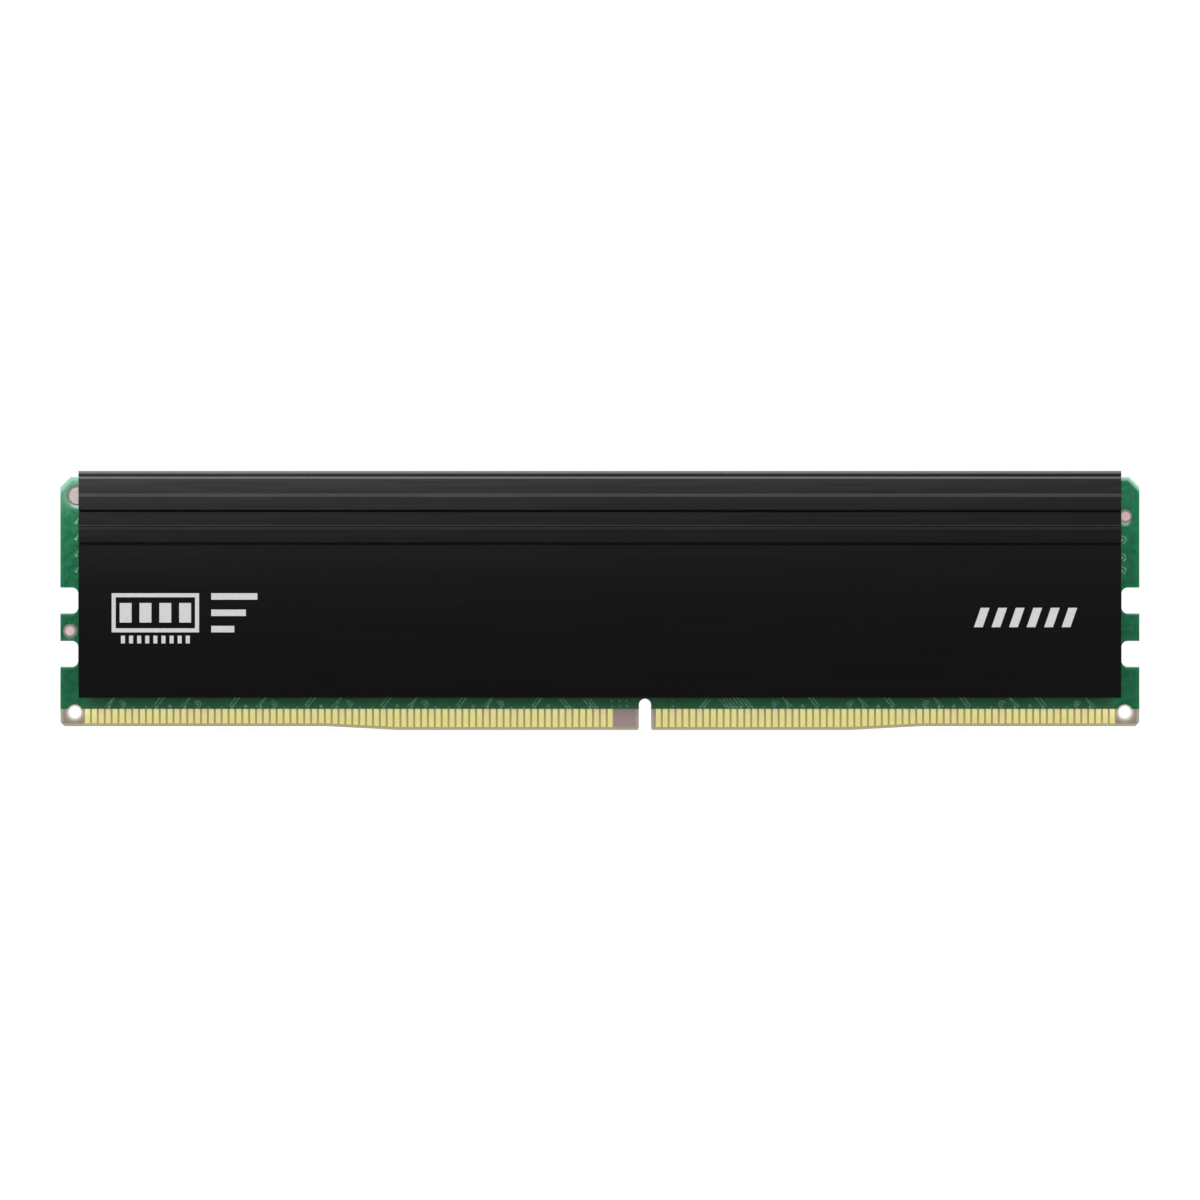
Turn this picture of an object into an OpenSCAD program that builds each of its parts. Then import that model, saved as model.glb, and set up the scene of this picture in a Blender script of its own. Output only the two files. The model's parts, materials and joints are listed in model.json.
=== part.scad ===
// Desktop memory module with a heat spreader on each face.
// X runs along the module, Z is up and the front faces -Y. The origin is the middle of the
// contact edge: half the length, half the thickness, and the edge's lowest line.

/* [Board] */
// Length of the circuit board
board_l = 133.35; // [133.2:0.05:133.5]
// Height of the circuit board above its lowest edge
board_h = 31.25; // [31.1:0.05:31.4]
// Thickness of the laminate
laminate_t = 1.32; // [1.2:0.02:1.4]
// Thickness of the solder mask and of the plated metal on each face
skin_t = 0.04; // [0.03:0.01:0.06]
// Depth of the step from the middle of the contact edge up to its ends
edge_step = 0.45; // [0.3:0.05:0.5]
// Length of each slope between the middle and an end of the contact edge
slope_l = 9; // [7:0.5:10]
// Size of the 45 degree cut at each top corner
top_corner = 1.25; // [0.5:0.05:1.5]
// Size of the 45 degree cut at each bottom corner
bottom_corner = 0.5; // [0.2:0.05:0.6]

/* [Notches and holes] */
// Distance from the left end to the middle of the key notch
key_from_left = 72.25; // [72.2:0.05:72.3]
// Width of the key notch
key_w = 1.5; // [1.4:0.05:1.6]
// Height of the top of the key notch, which is a full half circle
key_h = 3.85; // [3.5:0.05:4]
// Size of the flare at the mouth of the key notch
key_flare = 0.2; // [0.05:0.05:0.25]
// Height of the middle of the lower latch notch in each side edge
lower_latch_z = 9.4; // [9.2:0.05:9.6]
// Height of the middle of the upper latch notch in each side edge
upper_latch_z = 16; // [15.8:0.05:16.2]
// Height of a latch notch
latch_h = 3.2; // [3:0.05:3.3]
// Depth of a latch notch
latch_d = 2.2; // [2:0.05:2.3]
// Radius of a latch notch's inner corners
latch_r = 0.75; // [0.3:0.05:1]
// Radius of the tooling hole in each bottom corner
hole_r = 0.75; // [0.6:0.05:0.8]
// Distance from the side edge to the middle of a tooling hole
hole_in = 1.78; // [1.6:0.02:1.9]
// Height of the middle of a tooling hole
hole_z = 2.2; // [2.1:0.05:2.3]
// Width of the bare ring around a tooling hole
hole_ring = 0.2; // [0.2:0.05:0.4]

/* [Contacts] */
// Distance between neighbouring contacts
contact_pitch = 0.85; // [0.8:0.01:0.85]
// Width of a contact
contact_w = 0.6; // [0.5:0.05:0.65]
// Height where the contacts end and the solder mask begins
mask_z = 2.6; // [2.4:0.05:2.7]
// Height of a contact's lower end above the edge below it
contact_lift = 0.36; // [0.3:0.02:0.6]
// Number of contacts on each face, left of the key notch
left_contacts = 77; // [70:1:77]
// Number of contacts on each face, right of the key notch
right_contacts = 67; // [60:1:67]
// Distance from the left end to the first contact of the left block
left_start = 3.35; // [3.3:0.05:3.4]
// Distance from the left end to the first contact of the right block
right_start = 73.9; // [73.85:0.05:73.95]
// Contact of the left block above the middle of the left slope
left_slope_at = 41; // [38:1:44]
// Contact of the right block above the middle of the right slope
right_slope_at = 34; // [31:1:36]

/* [Memory packages] */
// Width of a memory package
package_w = 7.5; // [7:0.1:8]
// Length of a memory package, which stands upright
package_l = 11; // [10.5:0.1:11.5]
// Thickness of a memory package without its solder balls
package_t = 0.85; // [0.7:0.05:0.9]
// Distance between neighbouring memory packages
package_pitch = 13.2; // [11:0.1:13.5]
// Distance across the module between its two innermost packages
package_gap = 20; // [16:0.5:22]
// Height of the middle of the memory packages
package_z = 17.2; // [16:0.1:18]
// Radius of the dimple that marks a package's first ball
dimple_r = 0.4; // [0.2:0.05:0.5]
// Height of the solder joint under a package
ball_h = 0.3; // [0.25:0.01:0.35]
// Radius of a solder ball at its widest
ball_r = 0.23; // [0.2:0.01:0.25]
// Distance between neighbouring solder balls
ball_pitch = 0.8; // [0.7:0.05:0.8]

/* [Small components] */
// Length of a decoupling capacitor, which stands upright
capacitor_l = 1; // [0.6:0.1:1]
// Width of a decoupling capacitor
capacitor_w = 0.5; // [0.3:0.1:0.8]
// Height of a decoupling capacitor above the solder mask
capacitor_h = 0.5; // [0.3:0.1:1]
// Capacitors above and below each package
capacitors_per_row = 5; // [2:1:6]
// Distance between neighbouring capacitors
capacitor_pitch = 1.5; // [1.2:0.1:1.6]
// Distance from the package's end to the middle of a capacitor
capacitor_out = 1.8; // [1.5:0.1:2]
// Length of a resistor array
array_l = 2; // [1.6:0.1:2.2]
// Width of a resistor array
array_w = 1; // [0.6:0.1:1]
// Height of a resistor array above the solder mask
array_h = 0.4; // [0.3:0.1:0.6]
// Resistor arrays below each package
arrays_per_package = 3; // [1:1:3]
// Distance between neighbouring resistor arrays
array_pitch = 2.8; // [2.4:0.1:3]
// Height of the middle of the resistor arrays
array_z = 6.2; // [5.8:0.1:6.8]
// Width of the identification EEPROM
eeprom_w = 3; // [2:0.1:4]
// Height of the identification EEPROM along the board
eeprom_l = 2; // [2:0.1:3]
// Thickness of the identification EEPROM
eeprom_t = 0.75; // [0.5:0.05:1]
// Height of the middle of the identification EEPROM
eeprom_z = 12.5; // [9:0.1:20]

/* [Heat spreader] */
// Length of the heat spreader
spreader_l = 128.8; // [128:0.1:129]
// Height of the top of the heat spreader
spreader_top = 32; // [31.9:0.05:32.5]
// Height of the lower edge of the heat spreader
spreader_bottom = 4; // [3.9:0.05:4.5]
// Thickness of the plate where it is plain
plate_t = 1; // [0.8:0.05:1.2]
// Thickness of the thermal adhesive pad
pad_t = 0.5; // [0.4:0.05:0.8]
// Space between the board's top edge and the flange above it
flange_gap = 0.15; // [0.1:0.05:0.3]
// Width of the seam between the two flanges
seam_w = 0.1; // [0.05:0.05:0.2]
// Radius of the plate's top outer edge
lip_r = 0.45; // [0.2:0.05:0.45]
// Size of the small bevels on the plate's other edges
edge_break = 0.12; // [0.05:0.01:0.15]
// Height of the groove that follows the rounded top edge
groove_h = 0.5; // [0.3:0.02:0.5]
// Depth of that groove
groove_d = 0.2; // [0.1:0.02:0.3]
// How far the ribs stand out
rib_proud = 0.36; // [0.3:0.01:0.4]
// Height where the upper rib starts
upper_rib_top = 29.22; // [29:0.02:29.3]
// Height of the slope that starts the upper rib
upper_slope_h = 0.42; // [0.3:0.02:0.6]
// Height of the lower face of the upper rib
upper_rib_bottom = 27.2; // [27:0.05:27.3]
// Height where the lower rib starts
lower_rib_top = 25.33; // [25.2:0.01:25.4]
// Height of the lower face of the lower rib
lower_rib_bottom = 23.2; // [23:0.05:23.4]
// Height of the relief groove under each rib
relief_h = 0.3; // [0.15:0.05:0.35]
// Depth of the relief groove under each rib
relief_d = 0.22; // [0.1:0.02:0.3]
// Size of the small 45 degree slope that starts the lower rib
first_slope = 0.12; // [0.05:0.01:0.15]
// Depth of the undercut below that small slope
undercut_d = 0.18; // [0.1:0.01:0.3]
// Height of that undercut
undercut_h = 0.04; // [0.02:0.01:0.1]
// Height of the slope from the undercut out to the lower rib's full depth
lower_slope_h = 0.44; // [0.3:0.02:0.6]

/* [Marks and label] */
// Thickness of the printed marks
print_t = 0.03; // [0.02:0.01:0.05]
// Distance from the heat spreader's left end to the left mark
left_mark_in = 4.1; // [3:0.1:8]
// Length of the left mark
left_mark_l = 18; // [12:0.5:20]
// Height of the left mark
left_mark_h = 6.2; // [4:0.1:7]
// Height of the middle of the left mark
left_mark_z = 13.8; // [10:0.1:16]
// Line width in the left mark
mark_line = 0.5; // [0.3:0.05:0.6]
// Length of the right mark
right_mark_l = 13; // [8:0.5:14]
// Height of the right mark
right_mark_h = 2.4; // [1.5:0.1:3]
// Distance from the heat spreader's right end to the right mark
right_mark_in = 5.2; // [3:0.1:8]
// Height of the middle of the right mark
right_mark_z = 13.9; // [10:0.1:16]
// Bars in the right mark
right_mark_bars = 6; // [4:1:8]
// Length of the blank label on the rear plate
label_l = 62; // [20:1:100]
// Height of that label
label_h = 14; // [6:0.5:16]
// Thickness of the label
label_t = 0.1; // [0.05:0.01:0.15]
// Radius of the label's corners
label_r = 1.5; // [0.5:0.1:3]

/* [Hidden] */
$fn = 48;
board_left = -board_l / 2;
edge_slopes = [
    board_left + left_start + (left_slope_at - 1) * contact_pitch,
    board_left + right_start + (right_slope_at - 1) * contact_pitch
];
face_y = laminate_t / 2;
package_y = face_y + skin_t + ball_h;
plate_y = package_y + package_t + pad_t;
outer_y = plate_y + plate_t;
seam_y = seam_w / 2;
packages = 8;
package_rows = 13;
package_columns = [-4, -3, -2, 2, 3, 4];
pad_overhang = 2;
terminal_l = 0.22;
terminal_lap = 0.03;
array_terminals = 4;
substrate_in = 0.15;
dimple_in = 1;
dimple_depth = 0.05;
groove_turn = 0.35;
tick_h = left_mark_h * 0.22;

// Bare discs in windows of the solder mask: [distance in from the end, height, disc radius, window radius]
left_pads = [[2.1, 28.95, 1.02, 1.24], [1.19, 12.25, 0.57, 0.88]];
right_pads = [[1.72, 26.4, 0.57, 0.84]];
pads = concat(
    [for (p = left_pads) [board_left + p[0], p[1], p[2], p[3]]],
    [for (p = right_pads) [-board_left - p[0], p[1], p[2], p[3]]]
);

// ---- Placing ----

// Extrudes a shape drawn in X and Z from depth a to depth b, both counted towards the front
module slab(a, b) {
    translate([0, -a, 0])
        rotate([90, 0, 0])
            linear_extrude(b - a)
                children();
}

// Extrudes a shape drawn in Y and Z along X, about x = 0
module along_x(length) {
    translate([-length / 2, 0, 0])
        rotate([90, 0, 90])
            linear_extrude(length)
                children();
}

module to_back() {
    mirror([0, 1, 0])
        children();
}

// A rectangle about its middle with round corners, made of plain shapes
module round_rectangle(size, r) {
    square([size[0] - 2 * r, size[1]], center = true);
    square([size[0], size[1] - 2 * r], center = true);
    for (x = [-1, 1], z = [-1, 1])
        translate([x * (size[0] / 2 - r), z * (size[1] / 2 - r)])
            circle(r);
}

// ---- Circuit board ----

// Height of the contact edge at a given x
function edge_z(x) = lookup(x, [
    [edge_slopes[0] - slope_l / 2, edge_step],
    [edge_slopes[0] + slope_l / 2, 0],
    [edge_slopes[1] - slope_l / 2, 0],
    [edge_slopes[1] + slope_l / 2, edge_step]
]);

// The contact edge from left to right
edge_line = [
    [board_left + bottom_corner, edge_step],
    [edge_slopes[0] - slope_l / 2, edge_step],
    [edge_slopes[0] + slope_l / 2, 0],
    [edge_slopes[1] - slope_l / 2, 0],
    [edge_slopes[1] + slope_l / 2, edge_step],
    [-board_left - bottom_corner, edge_step]
];

module board_blank() {
    polygon(concat(edge_line, [
        [-board_left, edge_step + bottom_corner],
        [-board_left, board_h - top_corner],
        [-board_left - top_corner, board_h],
        [board_left + top_corner, board_h],
        [board_left, board_h - top_corner],
        [board_left, edge_step + bottom_corner]
    ]));
}

module key_notch() {
    middle = board_left + key_from_left;
    round_z = key_h - key_w / 2;
    translate([middle - key_w / 2, -1])
        square([key_w, round_z + 1]);
    translate([middle, round_z])
        circle(key_w / 2);
    polygon([
        [middle - key_w / 2 - 2 * key_flare, -key_flare],
        [middle + key_w / 2 + 2 * key_flare, -key_flare],
        [middle, key_w / 2 + key_flare]
    ]);
}

// A latch notch in the left edge, open to the left
module latch_notch(z) {
    inner = board_left + latch_d;
    translate([board_left - 1, z - latch_h / 2])
        square([latch_d + 1 - latch_r, latch_h]);
    translate([board_left - 1, z - latch_h / 2 + latch_r])
        square([latch_d + 1, latch_h - 2 * latch_r]);
    for (s = [-1, 1])
        translate([inner - latch_r, z + s * (latch_h / 2 - latch_r)])
            circle(latch_r);
}

module notches() {
    key_notch();
    for (side = [0, 1], z = [lower_latch_z, upper_latch_z])
        mirror([side, 0])
            latch_notch(z);
}

module tooling_holes(r) {
    for (side = [-1, 1])
        translate([side * (board_left + hole_in), hole_z])
            circle(r);
}

module circuit_board() {
    color("tan")
        slab(-face_y, face_y)
            difference() {
                board_blank();
                notches();
                tooling_holes(hole_r);
            }
}

module solder_mask() {
    color("seagreen")
        slab(face_y, face_y + skin_t)
            difference() {
                board_blank();
                notches();
                tooling_holes(hole_r + hole_ring);
                translate([board_left - 1, -1])
                    square([board_l + 2, mask_z + 1]);
                for (p = pads)
                    translate([p[0], p[1]])
                        circle(p[3]);
            }
}

module locating_pads() {
    color("mistyrose")
        for (p = pads)
            slab(face_y, face_y + skin_t)
                translate([p[0], p[1]])
                    circle(p[2]);
}

// ---- Contacts ----

module contacts(start, count) {
    color("khaki")
        slab(face_y, face_y + skin_t)
            for (i = [0 : count - 1]) {
                x = board_left + start + i * contact_pitch;
                bottom = edge_z(x) + contact_lift;
                translate([x - contact_w / 2, bottom])
                    square([contact_w, mask_z - bottom]);
            }
}

// ---- Memory packages ----

// X of package i of a face, counted from the left
function package_x(i) =
    let (half = packages / 2, out = i < half ? half - 1 - i : i - half)
    (i < half ? -1 : 1) * (package_gap / 2 + out * package_pitch);

// The moulded body sits on a slightly smaller carrier, with a dimple at the first ball
module memory_package(i) {
    x = package_x(i);
    carrier_t = package_t / 4;
    color("dimgray") {
        slab(package_y, package_y + carrier_t)
            translate([x, package_z])
                square([package_w - substrate_in, package_l - substrate_in], center = true);
        difference() {
            slab(package_y + carrier_t, package_y + package_t)
                translate([x, package_z])
                    square([package_w, package_l], center = true);
            slab(package_y + package_t - dimple_depth, package_y + package_t + 1)
                translate([x - package_w / 2 + dimple_in, package_z + package_l / 2 - dimple_in])
                    circle(dimple_r);
        }
    }
}

module solder_ball() {
    rotate([90, 0, 0])
        rotate_extrude()
            intersection() {
                circle(ball_r);
                translate([0, -ball_h / 2])
                    square([ball_r, ball_h]);
            }
}

module solder_balls() {
    color("silver")
        for (i = [0 : packages - 1], c = package_columns, r = [0 : package_rows - 1])
            translate([
                package_x(i) + c * ball_pitch,
                -(package_y - ball_h / 2),
                package_z + (r - (package_rows - 1) / 2) * ball_pitch
            ])
                solder_ball();
}

// ---- Small components ----

// Middles of the capacitors: a row above and a row below each package
capacitor_places = [
    for (i = [0 : packages - 1], s = [-1, 1], k = [0 : capacitors_per_row - 1]) [
        package_x(i) + (k - (capacitors_per_row - 1) / 2) * capacitor_pitch,
        package_z + s * (package_l / 2 + capacitor_out)
    ]
];

array_places = [
    for (i = [0 : packages - 1], k = [0 : arrays_per_package - 1]) [
        package_x(i) + (k - (arrays_per_package - 1) / 2) * array_pitch,
        array_z
    ]
];

component_y = face_y + skin_t;

module capacitors() {
    color("sienna")
        for (p = capacitor_places)
            slab(component_y + terminal_lap, component_y + capacitor_h - terminal_lap)
                translate(p)
                    square([capacitor_w, capacitor_l - 2 * terminal_l], center = true);
}

module resistor_arrays() {
    color("black")
        for (p = array_places)
            slab(component_y + terminal_lap, component_y + array_h)
                translate(p)
                    square([array_l, array_w - 2 * terminal_l], center = true);
}

// The metal ends of the capacitors, and the four pairs of ends of each resistor array
module component_terminals() {
    array_step = array_l / array_terminals;
    color("silver") {
        for (p = capacitor_places, s = [-1, 1])
            slab(component_y, component_y + capacitor_h)
                translate(p + [0, s * (capacitor_l - terminal_l) / 2])
                    square([capacitor_w, terminal_l], center = true);
        for (p = array_places, s = [-1, 1], k = [0 : array_terminals - 1])
            slab(component_y, component_y + array_h)
                translate(p + [
                    (k - (array_terminals - 1) / 2) * array_step,
                    s * (array_w - terminal_l) / 2
                ])
                    square([array_step * 0.6, terminal_l], center = true);
    }
}

module id_eeprom() {
    color("dimgray")
        slab(component_y + terminal_lap, component_y + eeprom_t)
            translate([0, eeprom_z])
                square([eeprom_w, eeprom_l], center = true);
}

// Soldered lands under the long sides of the EEPROM, four on each side
module eeprom_pads() {
    land_step = 0.5;
    land_w = 0.25;
    land_l = 0.4;
    color("silver")
        for (s = [-1, 1], k = [0 : 3])
            slab(component_y, component_y + terminal_lap)
                translate([s * (eeprom_w - land_l) / 2, eeprom_z + (k - 1.5) * land_step])
                    square([land_l, land_w], center = true);
}

// ---- Heat spreader ----

module thermal_pad() {
    length = 2 * package_x(packages - 1) + package_w + 2 * pad_overhang;
    color("lightsteelblue")
        slab(package_y + package_t, plate_y)
            translate([0, package_z])
                square([length, package_l + pad_overhang], center = true);
}

// Outer side of a rib from its start down to the end of the relief groove under it
function rib_outline(slope, bottom) = concat(slope, [
    [outer_y + rib_proud, bottom],
    [outer_y - relief_d, bottom],
    [outer_y - relief_d, bottom - relief_h],
    [outer_y, bottom - relief_h]
]);

upper_rib_slope = [
    [outer_y, upper_rib_top],
    [outer_y + rib_proud, upper_rib_top - upper_slope_h]
];

undercut_z = lower_rib_top - first_slope - undercut_h;
lower_rib_slope = [
    [outer_y, lower_rib_top],
    [outer_y + first_slope, lower_rib_top - first_slope],
    [outer_y + first_slope - undercut_d, undercut_z],
    [outer_y + rib_proud, undercut_z - lower_slope_h]
];

groove_top = spreader_top - lip_r;

// Cross-section of one plate, drawn as depth towards the front and height
spreader_outline = concat(
    [[seam_y, spreader_top - edge_break], [seam_y + edge_break, spreader_top]],
    [for (a = [90 : -15 : 0]) [
        outer_y - lip_r + lip_r * cos(a),
        spreader_top - lip_r + lip_r * sin(a)
    ]],
    [
        [outer_y - groove_d, groove_top - groove_h * groove_turn],
        [outer_y, groove_top - groove_h]
    ],
    rib_outline(upper_rib_slope, upper_rib_bottom),
    rib_outline(lower_rib_slope, lower_rib_bottom),
    [
        [outer_y, spreader_bottom + edge_break],
        [outer_y - edge_break, spreader_bottom],
        [plate_y + edge_break, spreader_bottom],
        [plate_y, spreader_bottom + edge_break],
        [plate_y, board_h + flange_gap],
        [seam_y, board_h + flange_gap]
    ]
);

module heat_spreader() {
    color("#202020")
        along_x(spreader_l)
            mirror([1, 0])
                polygon(spreader_outline);
}

// ---- Printed marks and label ----

// A drawing of a memory module with four chips and its contacts, and three plain bars
module left_mark_drawing() {
    chips = 4;
    bars = 3;
    frame_l = left_mark_l * 0.6;
    frame_h = left_mark_h - tick_h;
    chip_step = (frame_l - 2 * mark_line) / chips;
    tick_step = mark_line * 2;
    ticks = floor((frame_l - 2 * mark_line) / tick_step);
    bar_h = mark_line * 1.6;
    bar_x = frame_l + 3 * mark_line;
    difference() {
        square([frame_l, frame_h]);
        translate([mark_line, mark_line])
            square([frame_l - 2 * mark_line, frame_h - 2 * mark_line]);
    }
    for (i = [0 : chips - 1])
        translate([mark_line + (i + 0.5) * chip_step, frame_h / 2])
            square([chip_step * 0.6, frame_h * 0.5], center = true);
    for (i = [0 : ticks - 1])
        translate([frame_l / 2 + (i - (ticks - 1) / 2) * tick_step - mark_line / 2, -tick_h])
            square([mark_line, tick_h * 0.7]);
    for (i = [0 : bars - 1])
        translate([bar_x, (frame_h - bar_h) * (1 - i / (bars - 1))])
            square([(left_mark_l - bar_x) * (1 - i / 4), bar_h]);
}

module printed_mark_left() {
    color("gainsboro")
        slab(outer_y, outer_y + print_t)
            translate([-spreader_l / 2 + left_mark_in, left_mark_z - left_mark_h / 2 + tick_h])
                left_mark_drawing();
}

// A row of slanted bars
module printed_mark_right() {
    step = right_mark_l / right_mark_bars;
    bar_w = step * 0.5;
    lean = right_mark_h * 0.35;
    bar = [[0, 0], [bar_w, 0], [bar_w + lean, right_mark_h], [lean, right_mark_h]];
    color("gainsboro")
        slab(outer_y, outer_y + print_t)
            translate([spreader_l / 2 - right_mark_in - right_mark_l, right_mark_z - right_mark_h / 2])
                for (i = [0 : right_mark_bars - 1])
                    translate([i * step, 0])
                        polygon(bar);
}

module rear_label() {
    color("white")
        slab(-outer_y - label_t, -outer_y)
            translate([0, (spreader_bottom + lower_rib_bottom - relief_h) / 2])
                round_rectangle([label_l, label_h], label_r);
}

// ---- The nodes ----

circuit_board();
solder_mask();  // solder_mask_front
to_back() solder_mask();  // solder_mask_back
contacts(left_start, left_contacts);  // contacts_front_left
contacts(right_start, right_contacts);  // contacts_front_right
to_back() contacts(left_start, left_contacts);  // contacts_back_left
to_back() contacts(right_start, right_contacts);  // contacts_back_right
locating_pads();  // locating_pads_front
to_back() locating_pads();  // locating_pads_back
memory_package(0);  // memory_front_1
memory_package(1);  // memory_front_2
memory_package(2);  // memory_front_3
memory_package(3);  // memory_front_4
memory_package(4);  // memory_front_5
memory_package(5);  // memory_front_6
memory_package(6);  // memory_front_7
memory_package(7);  // memory_front_8
to_back() memory_package(0);  // memory_back_1
to_back() memory_package(1);  // memory_back_2
to_back() memory_package(2);  // memory_back_3
to_back() memory_package(3);  // memory_back_4
to_back() memory_package(4);  // memory_back_5
to_back() memory_package(5);  // memory_back_6
to_back() memory_package(6);  // memory_back_7
to_back() memory_package(7);  // memory_back_8
solder_balls();  // solder_balls_front
to_back() solder_balls();  // solder_balls_back
id_eeprom();
eeprom_pads();
capacitors();  // capacitors_front
to_back() capacitors();  // capacitors_back
resistor_arrays();  // resistor_arrays_front
to_back() resistor_arrays();  // resistor_arrays_back
component_terminals();  // component_terminals_front
to_back() component_terminals();  // component_terminals_back
thermal_pad();  // thermal_pad_front
to_back() thermal_pad();  // thermal_pad_back
heat_spreader();  // heat_spreader_front
to_back() heat_spreader();  // heat_spreader_back
printed_mark_left();
printed_mark_right();
rear_label();
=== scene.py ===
"""Looks of a desktop memory module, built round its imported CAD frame. Metres, +Z up, front towards -Y."""

import json
import math

import bmesh
import bpy
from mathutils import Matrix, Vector

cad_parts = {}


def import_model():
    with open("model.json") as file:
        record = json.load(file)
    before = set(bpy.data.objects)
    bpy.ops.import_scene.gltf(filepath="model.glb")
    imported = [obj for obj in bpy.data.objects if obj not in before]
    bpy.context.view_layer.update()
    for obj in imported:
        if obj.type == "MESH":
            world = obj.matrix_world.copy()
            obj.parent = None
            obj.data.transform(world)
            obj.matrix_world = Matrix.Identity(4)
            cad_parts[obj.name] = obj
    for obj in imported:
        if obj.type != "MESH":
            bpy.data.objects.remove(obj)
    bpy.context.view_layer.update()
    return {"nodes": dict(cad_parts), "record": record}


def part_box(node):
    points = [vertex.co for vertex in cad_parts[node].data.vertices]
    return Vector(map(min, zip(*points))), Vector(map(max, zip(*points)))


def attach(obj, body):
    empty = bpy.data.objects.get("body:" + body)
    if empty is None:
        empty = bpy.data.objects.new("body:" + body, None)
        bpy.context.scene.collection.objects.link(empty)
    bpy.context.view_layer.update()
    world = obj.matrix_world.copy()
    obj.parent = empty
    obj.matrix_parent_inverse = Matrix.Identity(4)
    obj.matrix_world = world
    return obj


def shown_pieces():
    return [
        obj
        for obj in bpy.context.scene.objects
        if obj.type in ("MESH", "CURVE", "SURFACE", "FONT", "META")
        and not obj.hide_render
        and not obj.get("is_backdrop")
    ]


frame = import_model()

MM = 0.001
FACES = (("front", -1), ("back", 1))
NODES = frame["nodes"]
MOUNTS = {mount["name"]: Vector(mount["pos_m"]) / MM for mount in frame["record"]["mounts"]}

# ---- Sizes, in millimetres. Across is X and up is Z ----


def box_mm(node):
    return [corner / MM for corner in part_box(node)]


_, board_high = box_mm("circuit_board")
mask_low, _ = box_mm("solder_mask_front")
plate_low, plate_high = box_mm("heat_spreader_front")

# The board's half length and top, and the outside and lower edge of its solder mask
HALF_L = board_high.x
BOARD_TOP = board_high.z
MASK_Y = -mask_low.y
MASK_BOTTOM = mask_low.z

# The board's outline. It repeats the CAD model's sizes that the frame doesn't give
TOP_CORNER = 1.25
LATCH_D, LATCH_H, LATCH_R = 2.2, 3.2, 0.75
KEY_W, KEY_H = 1.5, 3.85
HOLE_R = 0.75

# The contacts: the middle of the first one in the left and in the right block, and how many each has
CONTACT_PITCH = 0.85
CONTACT_STARTS = (-63.325, 7.225)
CONTACT_COUNTS = (77, 67)

# The contact edge is higher at its ends. A slope leads up to each, with its middle below the contact of this
# number in the left and in the right block, counted from 0
EDGE_STEP = 0.45
SLOPE_L = 9.0
SLOPE_CONTACTS = (40, 33)

# Bare pads beside the heat spreader: across, up, and radius of the window in the solder mask
BIG_PAD = (-64.575, 28.95, 1.24)
PADS = [BIG_PAD, (-65.485, 12.25, 0.88), (64.955, 26.4, 0.84)]

# The heat spreader: its lower edge and top, how far out its ribs and its face are, and its rounded lip
PLATE_BOTTOM = plate_low.z
PLATE_TOP = plate_high.z
RIB_Y = -plate_low.y
RIB_PROUD = 0.36
PLATE_Y = RIB_Y - RIB_PROUD
LIP_R = 0.45
LIP_BOTTOM = PLATE_TOP - 0.3


def contact_x(block, index):
    return CONTACT_STARTS[block] + index * CONTACT_PITCH


# ---- Material graphs ----


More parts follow.
